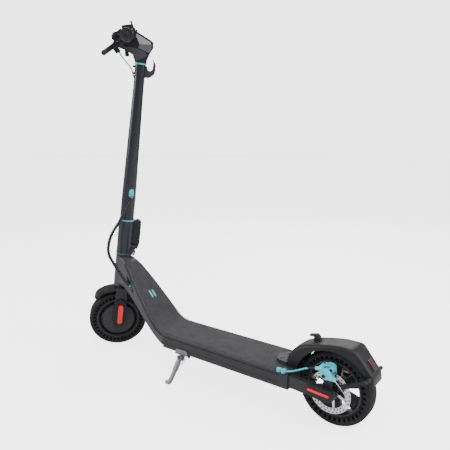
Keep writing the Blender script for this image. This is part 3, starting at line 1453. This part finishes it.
# ---- fork and stem ------------------------------------------------------------------------------------
@dataclass(frozen=True)
class ForkAndStem(Assembly):
    """Fork, folding joint, stem tube with its rings and hook, and the cam lever."""

    stripe: Flat = (560.0, 760.0)
    stripe_half: float = 1.6
    lower_ring: Corners = ((28.4, 268.6), (29.4, 268.6), (29.4, 270.3), (28.4, 271.2))

    def build(self) -> None:
        """Dress the steering column and add its details."""
        self.dress(("fork_frame", FRAME), ("fork_covers", COVER), ("fork_reflectors", RED),
                   ("fold_base", FRAME), ("fold_pin", STEEL), ("stem_tube", STEM), ("stem_sleeve", STEM),
                   ("accent_rings", TEAL_PAINT), ("stem_hook", MOTOR), ("fold_lever", COVER))
        self._cover_rims()
        self._ring_shade()
        self._hinge_caps()
        self._gland_collar()
        self._front_stripe()
        self._axle_nuts()
        self._lever_shell()

    def _lever_shell(self) -> None:
        """Ribs across the cam lever's back."""
        ribs = Draft(STEERING)
        for height in range(306, 388, 10):
            rib = fillet(((-52.0, height, 0.4), (-54.4, height + 1.0, 0.8), (-54.4, height + 4.0, 0.8),
                          (-52.0, height + 5.0, 0.4)))
            ribs.prism(on_side(rib, -8.0), LEFT * 16.0)
        ribs.piece(self.shop, "fold_lever_ribs", COVER, "fold_lever", bevel=0.4)

    def _cover_rims(self) -> None:
        """Raised rim round each fork cover's reflector."""
        draft = Draft(STEERING)
        for way in (-1, 1):
            outer = rounded_box((-17.0, -8.0), (7.0, 77.0), 11.9, 8)
            inner = rounded_box((-15.4, -6.4), (5.4, 75.4), 10.3, 8)
            rings = [draft.ring(on_side(line, way * across)) for line, across in
                     ((outer, 54.6), (outer, 56.2), (inner, 56.2), (inner, 54.6))]
            draft.skin(rings, wrap=True)
        draft.piece(self.shop, "fork_cover_rims", COVER, "fork", bevel=0.4)

    def _hinge_caps(self) -> None:
        """Domed heads with hex sockets on the folding pin."""
        caps, sockets = Draft(STEERING), Draft(STEERING)
        for way in (-1, 1):
            spot = Vector((-34.0, way * 21.6, 270.0))
            caps.turn([(0.0, 0.0), (0.0, 5.4), (1.2, 5.2), (2.2, 4.0), (2.6, 2.6), (2.6, 0.0)], spot,
                      LEFT * way, 32)
            sockets.turn([(2.4, 0.0), (2.4, 2.0), (2.7, 2.0), (2.7, 0.0)], spot, LEFT * way, 6)
        caps.piece(self.shop, "fold_pin_heads", STEEL, "fork")
        sockets.piece(self.shop, "fold_pin_sockets", BLACK_HOLE, "fork")

    def _ring_shade(self) -> None:
        """Dark band over the upper part of the lowest ring, which leaves a thin line of accent."""
        draft = Draft(STEERING)
        rings = []
        for step in range(57):
            turn = math.radians(-140.0 + 5.0 * step)
            out = Vector((math.cos(turn), math.sin(turn), 0.0))
            rings.append(draft.ring(out * radius + UP * height for radius, height in self.lower_ring))
        draft.skin(rings)
        draft.piece(self.shop, "lower_ring_shade", STEM, "stem")

    def _gland_collar(self) -> None:
        """Teal gland on the stem with its ribbed neck, and the two black cable clips above it."""
        gland = Draft(STEERING)
        gland.prism(on_side(rounded_box((-15.0, 486.0), (1.0, 516.0), 7.9, 9), 21.0), LEFT * 12.0)
        made = gland.piece(self.shop, "stem_cable_gland", TEAL_PAINT, "stem", bevel=1.6)
        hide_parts("stem_cable_clips")
        clips = Draft(STEERING)
        for height in (935.0, 913.0):
            line = fillet(((15.0, -4.0), (26.0, -4.0, 2.5), (26.0, 4.0, 2.5), (15.0, 4.0)))
            clips.prism([Vector((a, b, height - 3.5)) for a, b in line], UP * 7.0)
        clips.piece(self.shop, "stem_cable_holders", COVER, "stem", bevel=0.6)
        draft = Draft(STEERING)
        profile = [(-9.0, 4.2), (-9.0, 4.8)]
        for rib in range(4):
            start = -8.0 + rib * 2.0
            profile += [(start, 5.2 + rib * 0.15), (start + 0.9, 5.2 + rib * 0.15), (start + 1.2, 4.7)]
        profile += [(1.0, 5.6), (1.0, 4.2)]
        draft.turn(profile, Vector((-7.0, 28.6, 490.0)), UP, 28)
        draft.piece(self.shop, "stem_gland_boot", TEAL_PAINT, "stem")

    def _front_stripe(self) -> None:
        """Plain accent line down the front of the stem."""
        skin = Skin(STEERING, "stem_tube")
        start, end = self.stripe
        rows = 12
        for name, low, high in (("stem_accent_long", start, end),
                                ("stem_accent_short", start - 34.0, start - 12.0)):
            edges = []
            for row in range(rows + 1):
                height = low + (high - low) * row / rows
                edges += [Vector((60.0, across, height)) for across in (-self.stripe_half, self.stripe_half)]
            draft = decal(skin, edges, Vector((-1.0, 0.0, 0.0)), 0.15, STEERING)
            draft.piece(self.shop, name, MARK, "stem")

    def _axle_nuts(self) -> None:
        """Nuts under the fork covers, seen through their bores."""
        draft = Draft(STEERING)
        for way in (-1, 1):
            draft.turn([(46.0, 0.0), (46.0, 8.4), (51.6, 8.4), (52.4, 7.4), (52.4, 0.0)], Vector(),
                       LEFT * way, 6)
        draft.piece(self.shop, "front_axle_nuts", DARK_STEEL, "fork", bevel=0.3)


# ---- handlebar ----------------------------------------------------------------------------------------
@dataclass(frozen=True)
class Cockpit(Assembly):
    """Head with its side panels, screen and lamp, grips, levers and bell."""

    bar: Vector = Vector((56.0, 0.0, 1016.0))
    head_half: float = 27.0
    grip_in: float = 96.0
    grip_out: float = 215.0
    facet: Corners = ((31.0, 1041.5, 2), (-25.5, 1017.5, 4), (-30.5, 998.0, 5), (-24.0, 984.0, 4),
                      (13.0, 993.8, 2), (10.5, 1007.7, 2))
    facet_low: Corners = ((10.6, 1007.0, 1), (-29.6, 1010.5, 1), (-30.0, 998.0, 4), (-23.6, 984.6, 3),
                          (12.8, 994.4, 1))
    lower_panel: Corners = ((76.0, 991.6, 1.5), (44.0, 992.6), (14.0, 991.8), (-12.0, 984.4, 3),
                            (-17.0, 971.0, 3), (17.6, 952.6, 2), (27.4, 971.5, 12), (49.4, 982.6, 10),
                            (75.6, 987.6, 1.5))
    blocks: tuple[tuple[str, Corners, float, float], ...] = (
        ("switch_box", ((96.0, 978.0, 2), (81.0, 963.0, 2), (71.0, 974.5, 2), (85.0, 983.0, 2)), 60.0, 17.0),
        ("switch_wedge", ((74.0, 1041.5, 3), (92.7, 1024.5, 3), (94.0, 1020.6, 1), (60.0, 1021.2)),
         62.0, 24.0),
        ("switch_body", ((98.0, 1014.5, 3), (101.0, 1005.0, 4), (91.0, 1002.6, 2), (60.0, 1004.6),
                         (60.0, 1020.6), (88.0, 1020.0, 5)), 62.0, 22.0),
        ("bell_housing", ((72.6, 1051.6, 3), (42.4, 1060.0, 3), (37.0, 1056.0, 2), (34.6, 1050.4, 2),
                          (55.0, 1030.0), (69.4, 1030.0, 2)), 61.5, 7.0),
        ("head_side_stud", ((26.6, 1049.2, 1), (20.0, 1049.6, 1), (20.0, 1040.0), (26.2, 1042.0)), 20.0, 6.0))

    def build(self) -> None:
        """Dress the cockpit and add its details."""
        self.dress(("head_casting", COVER), ("display_panel", GLASS), ("mode_button", GRIP),
                   ("headlight", LAMP_CLEAR), ("handlebar", STEM), ("brake_perch", COVER),
                   ("throttle_housing", COVER), ("throttle_lever", COVER), ("bell", COVER),
                   ("bell_striker", COVER), ("brake_lever", COVER))
        self._panels()
        self._screen()
        self._lamp()
        self._grips()
        self._perch()
        self._bell()

    def _panels(self) -> None:
        """Grey side panels on both flanks of the head, each in two tones."""
        for name, outline, finish, lift in (("head_side_panels", self.facet, FACET, 1.1),
                                            ("head_side_insets", self.facet_low, FACET_LOW, 1.5),
                                            ("head_lower_panels", self.lower_panel, CASTING, 1.2)):
            draft = Draft(STEERING)
            for way in (-1, 1):
                draft.prism(on_side(fillet(outline), way * (self.head_half - 0.6)), LEFT * way * (0.6 + lift))
            draft.piece(self.shop, name, finish, "stem", bevel=0.5)

    def _screen(self) -> None:
        """Bezel, plain bars and dots that light up behind the screen's glass, and a ring round the button."""
        along = Vector((70.0, 0.0, 30.0)).normalized()
        up = along.cross(LEFT).normalized()
        corner = Vector((-27.0, 0.0, 1022.5))

        def spot(a: float, b: float, lift: float) -> Vector:
            """Point on the screen, a along it and b to the left."""
            return corner + along * a + LEFT * b + up * lift

        bezel = Draft(STEERING)
        outer = rounded_box((2.2, -23.8), (67.8, 23.8), 3.0)
        inner = rounded_box((4.4, -21.6), (65.6, 21.6), 2.0)
        lines = [[spot(a, b, lift) for a, b in outline]
                 for outline, lift in ((outer, -0.6), (outer, 1.0), (inner, 1.0), (inner, -0.6))]
        bezel.skin([bezel.ring(line) for line in lines], wrap=True)
        bezel.piece(self.shop, "screen_bezel", GLOSS, "stem", bevel=0.3)
        marks = Draft(STEERING)
        for index in range(5):
            low, high = 24.0, 28.0 + index * 1.2
            across = -12.0 + index * 6.0
            marks.prism([spot(a, b, 0.42) for a, b in ((low, across - 1.6), (high, across - 1.6),
                                                       (high, across + 1.6), (low, across + 1.6))], up * 0.12)
        marks.turn([(0.0, 7.4), (0.0, 8.6), (0.12, 8.6), (0.12, 7.4)], spot(46.0, 0.0, 0.42), up, 40)
        marks.piece(self.shop, "screen_indicator", LIT, "stem")
        ring = Draft(STEERING)
        ring.turn([(0.0, 6.5), (0.0, 8.2), (1.0, 7.8), (1.2, 6.8), (1.0, 6.5)], spot(11.0, 0.0, 0.2), up, 40)
        ring.piece(self.shop, "mode_button_ring", STEEL, "stem")

    def _lamp(self) -> None:
        """Bezel round the front lamp."""
        outer = rounded_box((-19.0, 992.0), (19.0, 1030.0), 7.0)
        inner = rounded_box((-16.4, 994.6), (16.4, 1027.4), 5.6)
        draft = Draft(STEERING)
        rings = [draft.ring(Vector((depth, a, b)) for a, b in line)
                 for line, depth in ((outer, 76.0), (outer, 80.0), (inner, 80.6), (inner, 76.0))]
        draft.skin(rings, wrap=True)
        draft.piece(self.shop, "headlight_bezel", COVER, "stem", bevel=0.5)

    def _grips(self) -> None:
        """Ribbed grips with flanged ends and dished end caps."""
        for way, label in ((1, "left"), (-1, "right")):
            profile = [(self.grip_in, 11.3), (self.grip_in, 17.2), (self.grip_in + 1.0, 18.0),
                       (self.grip_in + 4.6, 18.0), (self.grip_in + 6.0, 16.6)]
            start, pitch = self.grip_in + 8.0, 4.2
            ribs = int((self.grip_out - 10.0 - start) / pitch)
            for rib in range(ribs):
                at = start + rib * pitch
                palm = 0.5 * math.sin(math.pi * rib / ribs)
                profile += [(at, 15.0 + palm), (at + 0.9, 15.9 + palm), (at + 3.0, 15.9 + palm),
                            (at + 3.6, 15.0 + palm)]
            end = self.grip_out
            profile += [(end - back, radius) for back, radius in (
                (8.0, 16.0), (6.4, 18.6), (5.2, 19.0), (1.4, 19.0), (0.0, 17.8), (0.0, 15.6), (0.7, 15.0),
                (0.7, 4.0), (0.2, 3.4), (0.2, 0.0), (4.0, 0.0), (4.0, 11.3))]
            draft = Draft(STEERING)
            draft.turn(profile, self.bar, LEFT * way, 56)
            made = draft.piece(self.shop, f"grip_{label}", GRIP, "stem", angle=50.0)
            if way > 0:
                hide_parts("grips")
        cap = Draft(STEERING)
        for way in (-1, 1):
            low, high = self.grip_out - 2.6, self.grip_out - 1.8
            cap.turn([(low, 18.9), (low, 19.3), (high, 19.3), (high, 18.9)], self.bar, LEFT * way, 56)
        cap.piece(self.shop, "grip_end_rings", STEEL, "stem")

    def _perch(self) -> None:
        """Clamp bolts, switch and bell housings, trims and cable adjuster beside the brake lever."""
        bolts = Draft(STEERING)
        for across in (74.0, 86.0):
            bolts.turn([(-3.0, 0.0), (-3.0, 3.4), (1.6, 3.4), (2.4, 2.6), (2.4, 1.5), (1.0, 1.5), (1.0, 0.0)],
                       Vector((42.0, across, 1031.5)), Vector((-0.5, 0.0, 0.87)), 24)
        bolts.turn([(-2.0, 0.0), (-2.0, 4.4), (2.0, 4.4), (3.0, 3.4), (3.0, 0.0)],
                   Vector((41.2, 62.0, 1048.0)), LEFT, 24)
        bolts.piece(self.shop, "perch_clamp_bolts", STEEL, "stem")
        for name, outline, start, depth in self.blocks:
            block = Draft(STEERING).prism(on_side(fillet(outline), start), LEFT * depth)
            block.piece(self.shop, name, COVER, "stem", bevel=0.8)
        edge = Draft(STEERING)
        edge.tube(places(((86.6, 77.3, 969.6), (80.6, 77.3, 966.4), (76.8, 77.3, 973.6))), 0.9, 8)
        edge.tube(places(((93.0, 86.2, 1021.4), (84.0, 86.2, 1021.6), (76.0, 86.2, 1021.4))), 0.8, 8)
        edge.piece(self.shop, "switch_box_trims", RIM_LIP, "stem")
        nozzle = Draft(STEERING)
        tip = Vector((76.0, 60.0, 974.0))
        way = (tip - Vector((84.0, 74.0, 984.0))).normalized()
        profile = [(-7.0, 0.0), (-7.0, 6.2)]
        for rib in range(4):
            at = -6.0 + rib * 2.2
            profile += [(at, 6.4), (at + 1.3, 6.4), (at + 1.6, 5.6)]
        profile += [(4.0, 5.0), (8.0, 3.2), (8.0, 0.0)]
        nozzle.turn(profile, tip, way, 24)
        nozzle.piece(self.shop, "brake_cable_adjuster", GLOSS, "stem")

    def _bell(self) -> None:
        """Rim and screw of the thumb bell."""
        draft = Draft(STEERING)
        centre = Vector((86.0, 53.0, 1016.0))
        draft.turn([(-0.6, 13.2), (-0.6, 15.2), (0.4, 15.6), (1.4, 15.2), (1.4, 13.2)], centre, ALONG, 40)
        draft.turn([(14.6, 0.0), (14.6, 2.8), (15.8, 2.6), (16.2, 1.6), (16.2, 0.0)], centre, ALONG, 20)
        draft.piece(self.shop, "bell_rim_and_screw", STEEL, "stem")


# ---- studio -------------------------------------------------------------------------------------------
@dataclass(frozen=True)
class Studio:
    """Pale floor, soft lights and the camera."""

    eye: Vector = Vector((-0.95437, 1.13289, 0.77096))
    right: Vector = Vector((-0.796201, -0.605032, 0.000437))
    down: Vector = Vector((-0.099789, 0.130607, -0.986399))
    ahead: Vector = Vector((0.596747, -0.785416, -0.164365))
    lens: float = 38.73
    ambient: float = 0.40
    backdrop: float = 3.6
    floor_lift: float = 2.95

    def build(self) -> None:
        """Set up everything that isn't the scooter."""
        self._floor()
        self._sky()
        self._camera()
        for name, place, size, power in (("key", Vector((-1.2, 1.2, 3.4)), 2.4, 105.0),
                                         ("side", Vector((2.4, 2.0, 1.6)), 1.6, 60.0),
                                         ("rim", Vector((-2.6, -1.2, 1.8)), 1.6, 60.0),
                                         ("back", Vector((1.2, -2.8, 2.4)), 2.2, 60.0)):
            self._soft_box(name, place, size, power)

    def _floor(self) -> None:
        """Large pale floor, lifted to the backdrop's tone where it is seen."""
        mesh = bmesh.new()
        bmesh.ops.create_grid(mesh, x_segments=8, y_segments=8, size=30.0)
        data = bpy.data.meshes.new("floor")
        mesh.to_mesh(data)
        mesh.free()
        floor = bpy.data.objects.new("floor", data)
        bpy.context.scene.collection.objects.link(floor)
        material = bpy.data.materials.new("floor_white")
        material.use_nodes = True
        wiring = Wiring(material.node_tree)
        shader = material.node_tree.nodes["Principled BSDF"]
        grain = wiring.node("TexNoise", Scale=3.0, Detail=4.0)
        paint = wiring.mix(grain.outputs[0], (0.90, 0.90, 0.92), (0.93, 0.93, 0.94))
        wiring.feed(shader.inputs["Base Color"], paint)
        shader.inputs["Roughness"].default_value = 0.75
        shader.inputs["Emission Color"].default_value = (1.0, 1.0, 1.0, 1.0)
        seen = wiring.node("LightPath").outputs["Is Camera Ray"]
        wiring.feed(shader.inputs["Emission Strength"], wiring.math("MULTIPLY", seen, self.floor_lift))
        data.materials.append(material)

    def _sky(self) -> None:
        """Even pale light from all round."""
        world = bpy.data.worlds.new("studio")
        world.use_nodes = True
        wiring = Wiring(world.node_tree)
        background = world.node_tree.nodes["Background"]
        background.inputs[0].default_value = (1.0, 1.0, 1.0, 1.0)
        seen = wiring.node("LightPath").outputs["Is Camera Ray"]
        wiring.feed(background.inputs[1], wiring.math("MULTIPLY_ADD", seen, self.backdrop - self.ambient,
                                                      self.ambient))
        bpy.context.scene.world = world

    def _camera(self) -> None:
        """Camera looking down on the scooter's left side from behind."""
        data = bpy.data.cameras.new("camera")
        data.lens = self.lens
        data.sensor_width = 36.0
        camera = bpy.data.objects.new("camera", data)
        axes = Matrix((self.right, -self.down, -self.ahead)).transposed().to_4x4()
        camera.matrix_world = Matrix.Translation(self.eye) @ axes
        bpy.context.scene.collection.objects.link(camera)
        bpy.context.scene.camera = camera

    @staticmethod
    def _soft_box(name: str, place: Vector, size: float, power: float) -> None:
        """Square soft light aimed at the middle of the scooter.

        Args:
            name: Name of the light.
            place: Where it stands.
            size: Length of its side in metres.
            power: Its power in watts.
        """
        data = bpy.data.lights.new(name, "AREA")
        data.size = size
        data.energy = power
        light = bpy.data.objects.new(name, data)
        light.location = place
        light.rotation_mode = "QUATERNION"
        light.rotation_quaternion = (Vector((0.0, 0.0, 0.45)) - place).to_track_quat("-Z", "Y")
        bpy.context.scene.collection.objects.link(light)


def main() -> None:
    """Build every sub-assembly in order."""
    logging.basicConfig(level=logging.INFO, format="%(name)s: %(message)s")
    shop = Workshop()
    Studio().build()
    for kind in (Chassis, Wheels, RearGuard, FrontGuard, ForkAndStem, WrappedBundle, BrakeLine, Cockpit,
                 Caliper):
        LOG.info("building %s", kind.__name__)
        kind(shop).build()


if __name__ == "__main__":
    main()
